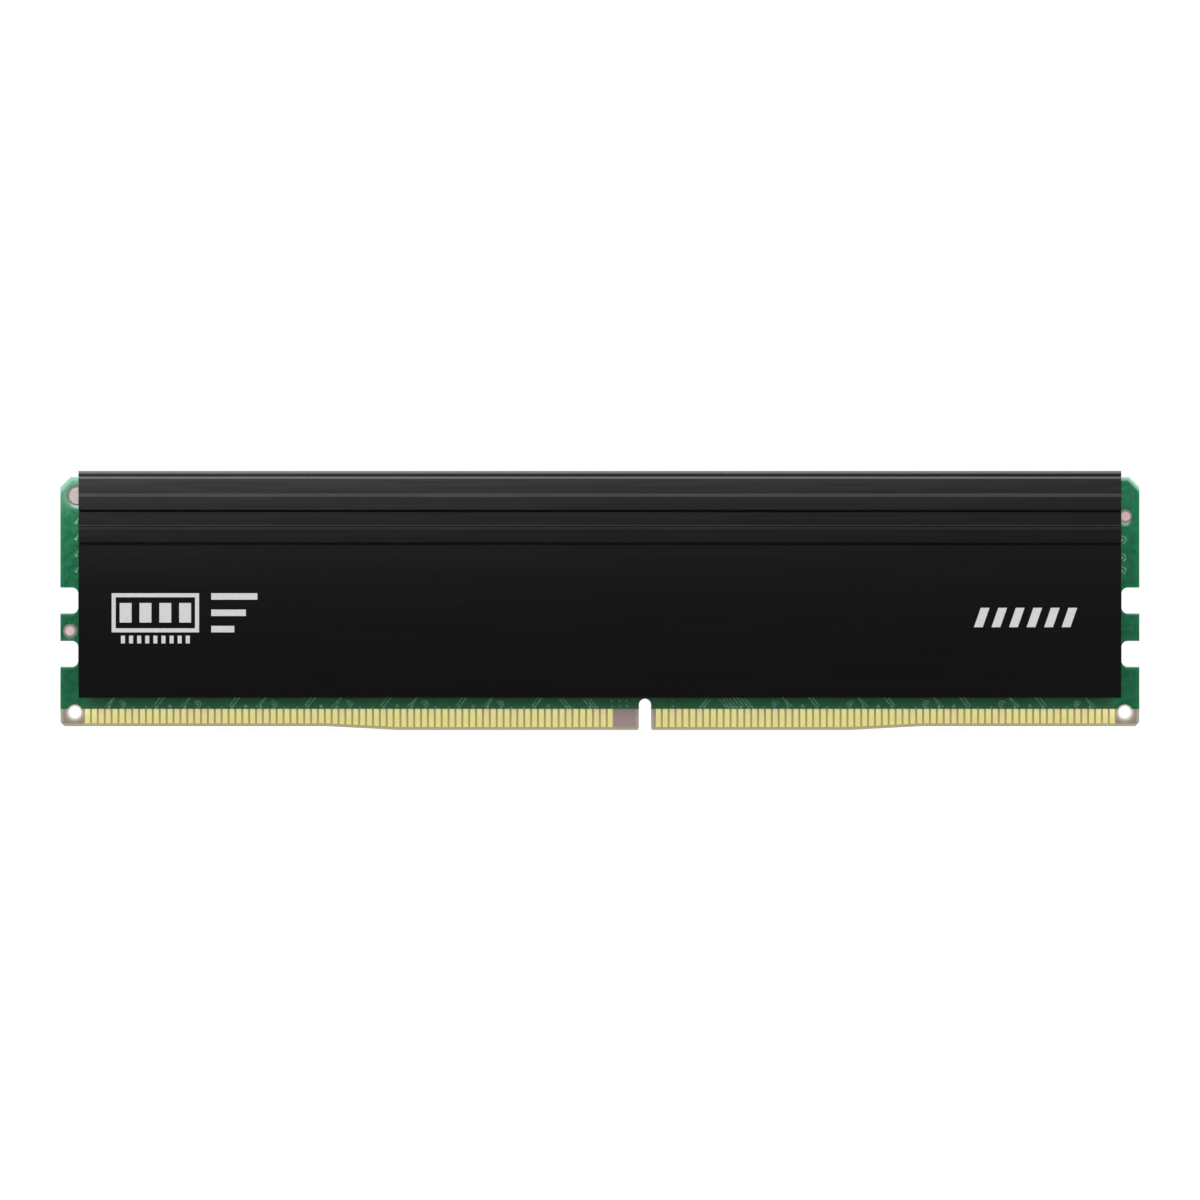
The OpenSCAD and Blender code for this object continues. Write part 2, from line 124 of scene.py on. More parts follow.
class Graph:
    """The node tree of a material, a light or the world, with one short call for each kind of node."""

    def __init__(self, owner, shader):
        owner.use_nodes = True
        self.owner = owner
        self.tree = owner.node_tree
        self.shader = self.tree.nodes[shader]

    def feed(self, socket, value):
        if isinstance(value, bpy.types.NodeSocket):
            self.tree.links.new(value, socket)
        else:
            socket.default_value = value

    def add(self, kind, inputs, output=0, **settings):
        node = self.tree.nodes.new(kind)
        for name, value in settings.items():
            setattr(node, name, value)
        for key, value in inputs.items():
            self.feed(node.inputs[key], value)
        return node.outputs[output]

    def set(self, **sockets):
        """Feeds the shader's own sockets. An underscore stands for a space in a socket's name."""
        for name, value in sockets.items():
            self.feed(self.shader.inputs[name.replace("_", " ")], value)

    def point(self):
        """The surface point in millimetres."""
        place = self.add("ShaderNodeTexCoord", {}, "Object")
        return self.vector("SCALE", place, scale=1 / MM)

    def parts(self, vector):
        node = self.tree.nodes.new("ShaderNodeSeparateXYZ")
        self.feed(node.inputs[0], vector)
        return node.outputs

    def math(self, operation, *values):
        return self.add("ShaderNodeMath", dict(enumerate(values)), operation=operation)

    def plus(self, a, b):
        return self.math("ADD", a, b)

    def minus(self, a, b):
        return self.math("SUBTRACT", a, b)

    def times(self, a, b):
        return self.math("MULTIPLY", a, b)

    def size(self, value):
        return self.math("ABSOLUTE", value)

    def most(self, *values):
        most = values[0]
        for value in values[1:]:
            most = self.math("MAXIMUM", most, value)
        return most

    def least(self, *values):
        least = values[0]
        for value in values[1:]:
            least = self.math("MINIMUM", least, value)
        return least

    def vector(self, operation, *values, scale=None):
        inputs = dict(enumerate(values))
        if scale is not None:
            inputs["Scale"] = scale
        output = "Value" if operation == "DOT_PRODUCT" else "Vector"
        return self.add("ShaderNodeVectorMath", inputs, output, operation=operation)

    def stretched(self, vector, x, y, z):
        return self.vector("MULTIPLY", vector, (x, y, z))

    def noise(self, vector, scale=1.0, detail=2.0, roughness=0.5):
        inputs = {"Vector": vector, "Scale": scale, "Detail": detail, "Roughness": roughness}
        return self.add("ShaderNodeTexNoise", inputs)

    def ramp(self, value, start, end, low=0.0, high=1.0, smooth=True):
        """low up to start, high from end on, and a smooth or a straight rise between them."""
        inputs = {"Value": value, "From Min": start, "From Max": end, "To Min": low, "To Max": high}
        kind = "SMOOTHSTEP" if smooth else "LINEAR"
        return self.add("ShaderNodeMapRange", inputs, interpolation_type=kind)

    def band(self, value, low, high, blend):
        """1 from low to high, and 0 from blend outside them."""
        rise = self.ramp(value, low - blend, low)
        fall = self.ramp(value, high, high + blend, 1, 0)
        return self.times(rise, fall)

    def mix(self, factor, a, b):
        def colour(value):
            return value if isinstance(value, bpy.types.NodeSocket) else (*value, 1)

        return self.add("ShaderNodeMix", {0: factor, 6: colour(a), 7: colour(b)}, 2, data_type="RGBA")

    def bump(self, height, distance):
        """height is 0 to 1, and distance is the relief in millimetres."""
        inputs = {"Height": height, "Distance": distance * MM, "Strength": 1.0}
        self.feed(self.shader.inputs["Normal"], self.add("ShaderNodeBump", inputs))


def new_material(name, **sockets):
    g = Graph(bpy.data.materials.new(name), "Principled BSDF")
    g.set(**sockets)
    return g


def srgb(r, g, b):
    """A colour in 0 to 255 display values as linear light."""
    return tuple((v / 255 / 12.92) if v <= 10 else ((v / 255 + 0.055) / 1.055) ** 2.4 for v in (r, g, b))


# ---- Distances on the board's face, in millimetres. They grow away from each edge, onto the board ----


def to_box(g, x, z, middle, half, r):
    """Distance outside a rectangle with corners of radius r."""
    along = g.minus(g.size(g.minus(x, middle[0])), half[0] - r)
    up = g.minus(g.size(g.minus(z, middle[1])), half[1] - r)
    along, up = g.most(along, 0.0), g.most(up, 0.0)
    reach = g.math("SQRT", g.plus(g.times(along, along), g.times(up, up)))
    return g.minus(reach, r)


def to_disc(g, x, z, middle, r):
    return to_box(g, x, z, middle, (r, r), r)


def to_top(g, x, z):
    """Distance to the top edge and to the cuts at its ends."""
    top = g.minus(BOARD_TOP, z)
    reach = HALF_L + BOARD_TOP - TOP_CORNER
    cut = g.times(g.minus(reach, g.plus(g.size(x), z)), math.sqrt(0.5))
    return g.least(top, cut)


def to_side(g, x):
    return g.minus(HALF_L, g.size(x))


def to_notches(g, x, z):
    distances = []
    for level in ("lower", "upper"):
        notch = MOUNTS[f"latch_notch_right_{level}"]
        # The box reaches past the board's side, so that only its inner end has round corners
        middle, half = (notch.x + LATCH_D, notch.z), (LATCH_D, LATCH_H / 2)
        distances.append(to_box(g, g.size(x), z, middle, half, LATCH_R))
    middle, half = (MOUNTS["key_notch"].x, 0), (KEY_W / 2, KEY_H)
    distances.append(to_box(g, x, z, middle, half, KEY_W / 2))
    return g.least(*distances)


def to_holes(g, x, z):
    hole = MOUNTS["tooling_hole_right"]
    return to_disc(g, g.size(x), z, (hole.x, hole.z), HOLE_R)


def to_windows(g, x, z):
    """Distance to the solder mask's windows round the bare pads."""
    return g.least(*[to_disc(g, x, z, pad[:2], pad[2]) for pad in PADS])


def to_contact_edge(g, x, z):
    left, right = (contact_x(block, index) for block, index in enumerate(SLOPE_CONTACTS))
    half = SLOPE_L / 2
    fall = g.ramp(x, left - half, left + half, EDGE_STEP, 0, smooth=False)
    rise = g.ramp(x, right - half, right + half, 0, EDGE_STEP, smooth=False)
    return g.minus(z, g.plus(fall, rise))


def in_contacts(g, x):
    """1 between the first and the last contact of either block."""
    blocks = []
    for block, count in enumerate(CONTACT_COUNTS):
        half = count * CONTACT_PITCH / 2
        middle = contact_x(block, (count - 1) / 2)
        blocks.append(g.math("LESS_THAN", g.size(g.minus(x, middle)), half))
    return g.most(*blocks)


# ---- Material of the heat spreader ----

# Specular level of the plate's face, below and above the heights between which it rises. The lower one also
# stands for the whole plate where only one number can be kept
FACE_SHINE = 0.22
TOP_SHINE = 0.31
SHINE_RISE = (29.5, 31)
# Slopes of its profile that shine more or less than the rest: from, to, and change of specular level
SLOPE_SHINE = [
    (23.0, 23.2, 0.3), (24.45, 24.95, -0.12), (25.22, 25.36, 0.14), (27.0, 27.2, 0.1), (31.3, 31.55, -0.13),
]
SLOPE_BLEND = 0.05
# Height of the stretch above the lower edge that is dull, and its share of the shine
DULL_H = 0.3
DULL = 0.1
# The noise that makes the streaks of the brushing mostly lies between these
STREAKS = (0.3, 0.7)
# Roughness of the smoothest streak, and how much rougher the roughest is
SMOOTH = 0.312
BRUSHED = 0.02
# The outer edge of the top has a painted highlight: the most added to its specular level, and its lighter
# colour
TOP_EDGE_SHINE = 0.75
TOP_EDGE_HIGHLIGHT = (0.014, 0.014, 0.014)


def plate_shine(g, z):
    """Specular level of the plate by height."""
    # The lower edge is dull, so that it draws no bright line
    dull = g.ramp(z, PLATE_BOTTOM, PLATE_BOTTOM + DULL_H, DULL, 1)
    shine = g.times(dull, g.ramp(z, *SHINE_RISE, FACE_SHINE, TOP_SHINE))
    for low, high, change in SLOPE_SHINE:
        shine = g.plus(shine, g.times(g.band(z, low, high, SLOPE_BLEND), change))
    return shine


def spreader_material():
    """Black anodised aluminium, brushed along its length."""
    g = new_material("black_anodised", Specular_IOR_Level=FACE_SHINE)
    p = g.point()
    _, y, z = g.parts(p)
    broad = g.noise(g.stretched(p, 0.04, 0.5, 2.5), detail=2)
    fine = g.noise(g.stretched(p, 0.07, 0.7, 5), detail=1)
    streak = g.plus(g.times(broad, 0.3), g.times(fine, 0.7))
    base = g.mix(g.ramp(streak, *STREAKS), (0.0025, 0.0025, 0.0026), (0.0033, 0.0033, 0.0034))
    outer = g.ramp(g.size(y), PLATE_Y - LIP_R, PLATE_Y - 0.6 * LIP_R)
    top_edge_shine = g.times(outer, g.ramp(z, LIP_BOTTOM, PLATE_TOP, 0, TOP_EDGE_SHINE))
    # Painted highlight: the outer part of the lip's top is painted lighter
    painted_highlight = g.times(outer, g.ramp(z, PLATE_TOP - 0.2, PLATE_TOP))
    # The lip is hardly brushed
    below_lip = g.ramp(z, LIP_BOTTOM - 0.6, LIP_BOTTOM, 1, 0.15)
    brushed = g.times(g.ramp(streak, *STREAKS, 0, BRUSHED), below_lip)
    g.set(
        Base_Color=g.mix(painted_highlight, base, TOP_EDGE_HIGHLIGHT),
        Roughness=g.plus(SMOOTH, brushed),
        Specular_IOR_Level=g.plus(plate_shine(g, z), top_edge_shine),
    )
    return g.owner


# ---- Materials of the circuit board ----

# Width of the strip along the board's edges that has no copper under the solder mask
MARGIN = 0.45
# How far the painted pale light below a notch reaches, and that below a pad's window
NOTCH_SHELF = 0.28
WINDOW_SHELF = 0.6
# Width of the dark crescent at the upper left of the big pad's window
RIM_SHADE = 0.16


def light_catchers(g, x, z):
    """How much the solder mask catches the light, near the edges that look up: 0 to 1."""
    notch = g.ramp(to_notches(g, x, g.plus(z, NOTCH_SHELF)), -NOTCH_SHELF, 0, 0.65, 0)
    window = g.ramp(to_windows(g, x, g.plus(z, WINDOW_SHELF)), -WINDOW_SHELF, 0, 0.9, 0)
    # The low pad's window catches little
    window = g.times(window, g.ramp(z, 14, 20, 0.2, 1))
    reach = g.ramp(x, -HALF_L, HALF_L, 0.9, 0.6, smooth=False)
    crest = g.times(g.ramp(to_top(g, x, z), 0.1, reach, 1, 0), g.ramp(x, -HALF_L, 0, 0.5, 1))
    halo = g.ramp(to_disc(g, x, z, BIG_PAD[:2], BIG_PAD[2]), 0.05, 0.75, 0.22, 0)
    return g.most(g.most(notch, window), g.most(crest, halo))


def mask_material():
    """Semi-gloss green solder mask over copper."""
    g = new_material("green_solder_mask", Specular_IOR_Level=0.35)
    p = g.point()
    x, _, z = g.parts(p)
    mottle = g.ramp(g.noise(p, 1.3, 4, 0.6), 0.3, 0.7)
    base = g.mix(mottle, srgb(4, 82, 52), srgb(14, 101, 64))
    border = g.least(to_top(g, x, z), to_side(g, x), to_notches(g, x, z))
    margin = g.ramp(border, MARGIN - 0.08, MARGIN + 0.02, 1, 0)
    base = g.mix(g.times(margin, 0.5), base, srgb(6, 102, 62))
    # The big pad's window is dark at its upper left, where the mask's step turns away from the light
    turned = to_disc(g, g.plus(x, RIM_SHADE), g.minus(z, RIM_SHADE), BIG_PAD[:2], BIG_PAD[2])
    base = g.mix(g.ramp(turned, 0, RIM_SHADE, 0.5, 0), base, srgb(10, 40, 26))
    base = g.mix(light_catchers(g, x, z), base, srgb(130, 176, 154))
    # Below the plate the mask has a painted grey sheen, darkest in a painted shadow of the plate's lower edge
    under = g.times(g.ramp(z, PLATE_BOTTOM, PLATE_BOTTOM + 0.4, 1, 0), g.ramp(to_side(g, x), 2.2, 3.5))
    base = g.mix(g.times(under, 0.5), base, srgb(52, 88, 64))
    above = g.ramp(z, PLATE_BOTTOM, PLATE_BOTTOM + 0.2, 1, 0)
    shadow = g.times(g.ramp(z, PLATE_BOTTOM - 0.2, PLATE_BOTTOM, 0, 0.5), above)
    base = g.mix(g.times(shadow, g.ramp(to_side(g, x), 2.2, 2.6)), base, srgb(14, 28, 22))
    g.set(Base_Color=base, Roughness=g.ramp(mottle, 0, 1, 0.32, 0.42))
    rim = g.ramp(to_windows(g, x, z), 0.0, 0.24)
    weave = g.times(g.noise(p, 2.4, 3), 0.15)
    g.bump(g.plus(rim, weave), 0.02)
    return g.owner


def trace_material():
    """The solder mask where a copper track lifts it into the light."""
    g = new_material("mask_over_copper", Roughness=0.34)
    tone = g.ramp(g.noise(g.point(), 3, 3), 0.35, 0.65)
    g.set(Base_Color=g.mix(tone, srgb(56, 112, 84), srgb(100, 146, 122)))
    g.bump(tone, 0.01)
    return g.owner


# Distances between the threads of the laminate's glass cloth and between its layers
THREAD_PITCH = 0.5
LAYER_PITCH = 0.22
# Above this height the laminate's faces show only as rings round the bare pads
PAD_RINGS = 3.2


def laminate_material():
    """Bare glass cloth in resin: a weave on the faces, and layers on the edges."""
    g = new_material("bare_laminate", Roughness=0.55, Specular_IOR_Level=0.4)
    p = g.point()
    x, y, z = g.parts(p)
    turn = 2 * math.pi / THREAD_PITCH
    weave = g.times(g.math("SINE", g.times(x, turn)), g.math("SINE", g.times(z, turn)))
    cloth = g.plus(g.ramp(weave, -1, 1), g.noise(p, 2.2, 3))
    face = g.mix(g.ramp(cloth, 0.5, 1.5), srgb(137, 118, 119), srgb(142, 124, 125))
    # Gold light from the contacts' sides fills the gaps between them
    face = g.mix(g.times(in_contacts(g, x), 0.85), face, srgb(160, 148, 84))
    face = g.mix(g.math("GREATER_THAN", z, PAD_RINGS), face, srgb(142, 136, 132))
    # The bottom corners are darker, but for the edges and the rims of the holes
    below_mask = g.ramp(z, MASK_BOTTOM, MASK_BOTTOM + 0.5, 1, 0)
    corner = g.times(g.ramp(to_side(g, x), 2.7, 3.0, 1, 0), below_mask)
    face = g.mix(corner, face, srgb(122, 110, 98))
    border = g.least(to_side(g, x), to_notches(g, x, z), to_contact_edge(g, x, z))
    face = g.mix(g.ramp(border, 0.15, 0.5, 0.85, 0), face, srgb(153, 152, 131))
    # Pale rings round the tooling hole are a painted glow of its lit rim
    from_hole = to_holes(g, x, z)
    face = g.mix(g.ramp(from_hole, 0, 0.8, 0.75, 0), face, srgb(174, 162, 144))
    face = g.mix(g.ramp(from_hole, 0.05, 0.35, 0.6, 0), face, srgb(222, 214, 202))
    layers = g.math("SINE", g.times(y, 2 * math.pi / LAYER_PITCH))
    edge = g.mix(g.ramp(layers, 0.2, 0.9), srgb(176, 166, 128), srgb(118, 100, 62))
    inside = g.ramp(g.size(y), MASK_Y - 0.06, MASK_Y - 0.05, 1, 0)
    g.set(Base_Color=g.mix(inside, face, edge))
    g.bump(cloth, 0.002)
    return g.owner


def contact_shade(g, x):
    """A random number for each contact, from 0 to 1."""
    shades = []
    for start in CONTACT_STARTS:
        place = g.math("DIVIDE", g.minus(x, start - CONTACT_PITCH / 2), CONTACT_PITCH)
        number = {"W": g.math("FLOOR", place)}
        shades.append(g.add("ShaderNodeTexWhiteNoise", number, noise_dimensions="1D"))
    right = g.math("GREATER_THAN", x, MOUNTS["key_notch"].x)
    return g.plus(g.times(shades[1], right), g.times(shades[0], g.minus(1.0, right)))


def gold_material():
    g = new_material("contact_gold", Metallic=0.3)
    p = g.point()
    x, _, z = g.parts(p)
    shade = contact_shade(g, x)
    wipe = g.noise(g.stretched(p, 6, 1, 0.5), detail=3)
    tone = g.ramp(g.plus(g.times(shade, 0.7), g.times(wipe, 0.3)), 0.1, 0.9)
    base = g.mix(tone, srgb(224, 218, 138), srgb(226, 215, 144))
    # Painted light: the contacts are lighter towards their top, against the plate's shade there
    base = g.mix(g.ramp(z, MASK_BOTTOM - 1.3, MASK_BOTTOM - 0.1), base, srgb(240, 237, 166))
    # About one contact in four has a painted pink reflection in its upper half
    upper = g.ramp(z, MASK_BOTTOM - 1.5, MASK_BOTTOM - 0.4)
    base = g.mix(g.times(upper, g.ramp(shade, 0.72, 0.82, 0, 0.4)), base, srgb(234, 206, 170))
    g.set(Base_Color=base, Roughness=g.ramp(wipe, 0.3, 0.7, 0.46, 0.54))
    g.bump(wipe, 0.002)
    return g.owner


def pad_material():
    """Bare copper lands. They are pinker towards the right end."""
    g = new_material("bare_copper_land", Metallic=0.2, Roughness=0.5)
    p = g.point()
    x, _, z = g.parts(p)
    grain = g.noise(p, 6, 4, 0.6)
    base = g.mix(g.ramp(grain, 0.35, 0.65), srgb(228, 196, 198), srgb(238, 216, 217))
    base = g.mix(g.ramp(x, 0, HALF_L, 0, 0.6), base, srgb(234, 186, 184))
    # The big pad is greyer, but for a crescent of painted shade at its left that darkens outwards. The right
    # pad is greyer a little at its very top
    middle, height, radius = BIG_PAD
    high_up = g.ramp(z, height - 2, height - 1.5)
    shaded = g.times(g.ramp(x, middle - radius, middle - 0.75, 0.6, 0), high_up)
    base = g.mix(shaded, base, srgb(150, 122, 126))
    greyed = g.times(g.ramp(x, middle - 0.75, middle - 0.5), high_up)
    g.set(Base_Color=g.mix(greyed, base, srgb(222, 214, 210)))
    g.bump(grain, 0.006)
    return g.owner


# ---- Materials of the small pieces, the print and the label ----


def package_material():
    g = new_material("moulding_compound", Specular_IOR_Level=0.4)
    grain = g.noise(g.point(), 22, 3, 0.7)
    g.set(
        Base_Color=g.mix(g.ramp(grain, 0.35, 0.7), (0.014, 0.014, 0.015), (0.036, 0.036, 0.038)),
        Roughness=g.ramp(grain, 0.3, 0.7, 0.5, 0.72),
    )
    g.bump(grain, 0.012)
    return g.owner


def solder_material():
    g = new_material("solder", Metallic=0.95)
    grain = g.noise(g.point(), 9, 3)
    g.set(
        Base_Color=g.mix(grain, srgb(196, 198, 202), srgb(224, 225, 226)),
        Roughness=g.ramp(grain, 0.3, 0.7, 0.22, 0.42),
    )
    g.bump(grain, 0.01)
    return g.owner


def ceramic_material():
    g = new_material("capacitor_ceramic", Specular_IOR_Level=0.5)
    grain = g.noise(g.point(), 7, 4, 0.6)
    g.set(
        Base_Color=g.mix(g.ramp(grain, 0.3, 0.7), srgb(122, 88, 62), srgb(158, 122, 92)),
        Roughness=g.ramp(grain, 0.3, 0.7, 0.36, 0.5),
    )
    g.bump(grain, 0.01)
    return g.owner


def resistor_material():
    g = new_material("resistor_glass")
    grain = g.noise(g.point(), 12, 3)
    g.set(
        Base_Color=g.mix(grain, (0.012, 0.012, 0.014), (0.03, 0.03, 0.034)),
        Roughness=g.ramp(grain, 0.3, 0.7, 0.22, 0.36),
    )
    g.bump(grain, 0.006)
    return g.owner


def thermal_pad_material():
    """Soft silicone with pale specks of its filler."""
    g = new_material("thermal_pad", Specular_IOR_Level=0.3)
    p = g.point()
    grain = g.noise(p, 14, 4, 0.7)
    speck = g.ramp(g.noise(p, 30, 1), 0.62, 0.7)
    base = g.mix(g.ramp(grain, 0.3, 0.7), srgb(126, 138, 154), srgb(150, 162, 176))
    g.set(
        Base_Color=g.mix(speck, base, srgb(190, 198, 206)),
        Roughness=g.ramp(grain, 0.3, 0.7, 0.7, 0.9),
    )
    g.bump(grain, 0.02)
    return g.owner


def print_material():
    g = new_material("printed_ink", Roughness=0.5, Specular_IOR_Level=0.3)
    grain = g.noise(g.point(), 9, 4, 0.7)
    g.set(Base_Color=g.mix(g.ramp(grain, 0.3, 0.7), srgb(170, 170, 170), srgb(186, 186, 186)))
    g.bump(grain, 0.006)
    return g.owner


def label_material():
    g = new_material("label_film", Specular_IOR_Level=0.45)
    grain = g.noise(g.point(), 5, 5, 0.65)
    g.set(
        Base_Color=g.mix(g.ramp(grain, 0.3, 0.7), srgb(184, 184, 182), srgb(196, 196, 194)),
        Roughness=g.ramp(grain, 0.3, 0.7, 0.34, 0.46),
    )
    g.bump(grain, 0.005)
    return g.owner


SLOT_MATERIALS = {
    "laminate": laminate_material(),
    "solder_mask": mask_material(),
    "contact_gold": gold_material(),
    "pad_metal": pad_material(),
    "package_black": package_material(),
    "solder": solder_material(),
    "capacitor_ceramic": ceramic_material(),
    "resistor_black": resistor_material(),
    "thermal_pad": thermal_pad_material(),
    "spreader_black": spreader_material(),
    "print_white": print_material(),
    "label_white": label_material(),
}
TRACK_MATERIAL = trace_material()


# ---- CAD nodes ----

# How far the square edges of the plates and the packages are broken
EDGE_BREAK = 0.05
BEVEL_SEGMENTS = 3
# In degrees: faces closer than FLAT are one face, edges sharper than SHARP are broken, and the bevelled
# piece is shaded crisp across edges sharper than CRISP
FLAT, SHARP, CRISP = 1, 60, 20
# Points closer than this, in metres, are one
WELD = 1e-6
# How much the large faces lead the shading. 50 is even
LARGE_FACES = 60


def dress_cad_nodes():
    """Each CAD node gets the material of its slot in the record."""
    for part in frame["record"]["subparts"]:
        mesh = NODES[part["node"]].data
        mesh.materials.clear()
        mesh.materials.append(SLOT_MATERIALS[part["material_slot"]])


def round_edges(piece):
    """Breaks the square edges of a CAD node, and keeps its other edges crisp."""
    weld = piece.modifiers.new("weld", "WELD")
    weld.merge_threshold = WELD
    flat = piece.modifiers.new("flat", "DECIMATE")
    flat.decimate_type = "DISSOLVE"
    flat.angle_limit = math.radians(FLAT)
    bevel = piece.modifiers.new("bevel", "BEVEL")
    bevel.width = EDGE_BREAK * MM
    bevel.segments = BEVEL_SEGMENTS
    bevel.limit_method = "ANGLE"
    bevel.angle_limit = math.radians(SHARP)
    split = piece.modifiers.new("split", "EDGE_SPLIT")
    split.split_angle = math.radians(CRISP)
    normals = piece.modifiers.new("normals", "WEIGHTED_NORMAL")
    normals.weight = LARGE_FACES


# ---- Raised tracks and vias under the solder mask, in millimetres ----

TRACK_W = 0.19
TRACK_H = 0.018
# A ridge's section: places across, in half widths, and heights, in track heights
TRACK_SECTION = ((1, 0), (0.55, 1), (-0.55, 1), (-1, 0))
# A via's section: radii, in its own radius, and heights, in track heights
VIA_SECTION = ((1, 0), (0.8, 1.3), (0.5, 1.3), (0.22, 0.3))
VIA_CORNERS = 14
# How far the ridges reach into the solder mask
SUNK = 0.004
# Heights above the mask's lower edge at which tracks start, and at which the plate hides them
TRACK_FOOT = 0.06
TRACK_HEAD = PLATE_BOTTOM + 0.4 - MASK_BOTTOM
# The pattern of tracks above the contacts repeats after this many contacts
GROUP = 11
# Tracks near the key notch: across, lean to the left or right, and how many side by side
NOTCH_GROUPS = ((-4.1, -1, 2), (-1.2, -1, 3), (12.4, 1, 2), (15.6, -1, 4), (18.4, -1, 2))
NOTCH_PITCH = 0.45
# Places across of the pairs of vias beside the key notch
NOTCH_VIAS = (1.4, 2.4, 3.3, 8.9)
# Heights of the tracks in the strips beside the plates
LEFT_STRIP = (25.6, 23.6, 21.6, 19.6)
RIGHT_STRIP = (23.2, 21.0, 19.4)
STRIP_TRACK_W = 0.16


class Relief:
    """One mesh of low ridges on a face of the board. side is -1 for the front and 1 for the back."""

    def __init__(self, name, side):
        self.name = name
        self.side = side
        self.mesh = bmesh.new()

    def vertex(self, x, z, height):
        y = self.side * (MASK_Y + height - SUNK)
        return self.mesh.verts.new((x * MM, y * MM, z * MM))

    def close(self, rings):
        """Joins neighbouring rings of vertices with faces, and caps both ends."""
        for a, b in zip(rings, rings[1:]):
            for k in range(len(a)):
                after = (k + 1) % len(a)
                self.mesh.faces.new((a[k], a[after], b[after], b[k]))
        self.mesh.faces.new(rings[0])
        self.mesh.faces.new(rings[-1])

    def track(self, points, width=TRACK_W):
        """A ridge along points, with a flat top and sloped sides."""
        rings = []
        for i, point in enumerate(points):
            before = points[max(i - 1, 0)]
            after = points[min(i + 1, len(points) - 1)]
            run = (Vector(after) - Vector(before)).normalized()
            out = Vector((-run.y, run.x)) * width / 2
            rings.append([
                self.vertex(point[0] + out.x * k, point[1] + out.y * k, TRACK_H * rise)
                for k, rise in TRACK_SECTION
            ])
        self.close(rings)

    def via(self, x, z, r):
        """A tented via: a low ring with a hollow middle."""
        angles = [2 * math.pi * k / VIA_CORNERS for k in range(VIA_CORNERS)]
        self.close([
            [self.vertex(x + r * k * math.cos(a), z + r * k * math.sin(a), TRACK_H * rise) for a in angles]
            for k, rise in VIA_SECTION
        ])

    def finish(self):
        bmesh.ops.recalc_face_normals(self.mesh, faces=self.mesh.faces)
        data = bpy.data.meshes.new(self.name)
        self.mesh.to_mesh(data)
        self.mesh.free()
        piece = bpy.data.objects.new(self.name, data)
        bpy.context.scene.collection.objects.link(piece)
        data.materials.append(TRACK_MATERIAL)
        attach(piece, "root")


def arc(middle, r, start, end, steps=8):
    """Points on an arc. start and end are in degrees."""
    angles = [math.radians(start + (end - start) * k / steps) for k in range(steps + 1)]
    return [(middle[0] + r * math.cos(a), middle[1] + r * math.sin(a)) for a in angles]


def escape_group(relief, block, index, lean):
    """The tracks that leave eleven contacts: slanted pairs, a hooked one round a via, and short stubs."""
    def at(offset, height):
        """A point offset contacts along from the first, and height above the mask's lower edge."""
        return contact_x(block, index) + lean * offset * CONTACT_PITCH, MASK_BOTTOM + height

    relief.track([at(0, TRACK_FOOT), at(0, 0.22), at(1.2, TRACK_HEAD)])
    relief.via(*at(0.2, 0.26), 0.2)
    relief.track([at(-0.5, 0.26), at(0.6, 1.2)], TRACK_W * 0.8)
    hook = at(2, 0.6)
    relief.track([at(2.05, TRACK_FOOT), *arc(hook, 0.4, -90, -90 + lean * 250, 12)])
    relief.via(*hook, 0.2)
    relief.track([at(6.6, 0.35), at(7.9, TRACK_HEAD)])
    relief.track([at(7, TRACK_FOOT), at(7, 0.2), at(8.5, TRACK_HEAD)])
    relief.via(*at(7, 0.24), 0.18)
    relief.via(*at(9, 0.35), 0.22)
    for offset in (3.6, 5.5):
        relief.via(*at(offset, 0.18), 0.13)


def notch_group(relief, x, lean, strokes):
    """Slanted parallel tracks that end in vias near the key notch."""
    foot = MASK_BOTTOM + TRACK_FOOT
    for k in range(strokes):
        start = x + NOTCH_PITCH * k
        relief.track([(start, foot + 0.1), (start + lean * 0.9, MASK_BOTTOM + 1.25)])
        relief.via(start, foot + 0.14, 0.15)


def end_strips(relief):
    """Tracks that show in the strips beside the heat spreader."""
    for z in LEFT_STRIP:
        x = -HALF_L + 1.95
        relief.via(x, z, 0.2)
        relief.track([(x, z + 0.1), (x + 0.25, z + 0.45), (x + 0.75, z + 0.5)], STRIP_TRACK_W)
    for z in RIGHT_STRIP:
        x = HALF_L - 2.1
        hook = arc((x, z + 0.3), 0.42, 80, -80)
        relief.track([(x - 0.5, z + 0.9), (x, z + 0.75), *hook], STRIP_TRACK_W)
        relief.via(x - 0.05, z + 0.25, 0.2)


def board_relief(face, side):
    relief = Relief(f"signal_tracks_{face}", side)
    for index in range(3, 60, GROUP):
        escape_group(relief, 0, index, 1)
    for index in range(63, 12, -GROUP):
        escape_group(relief, 1, index, -1)
    for x, lean, strokes in NOTCH_GROUPS:
        notch_group(relief, x, lean, strokes)
    for x in NOTCH_VIAS:
        relief.via(x, MASK_BOTTOM + 1, 0.13)
        relief.via(x + 0.1, MASK_BOTTOM + 0.35, 0.13)
    end_strips(relief)
    relief.finish()


# ---- Floor ----

FLOOR_R = 0.6
FLOOR_CORNERS = 96
# The floor glows, so that it is as pale as the world behind it
FLOOR_GLOW = 0.5


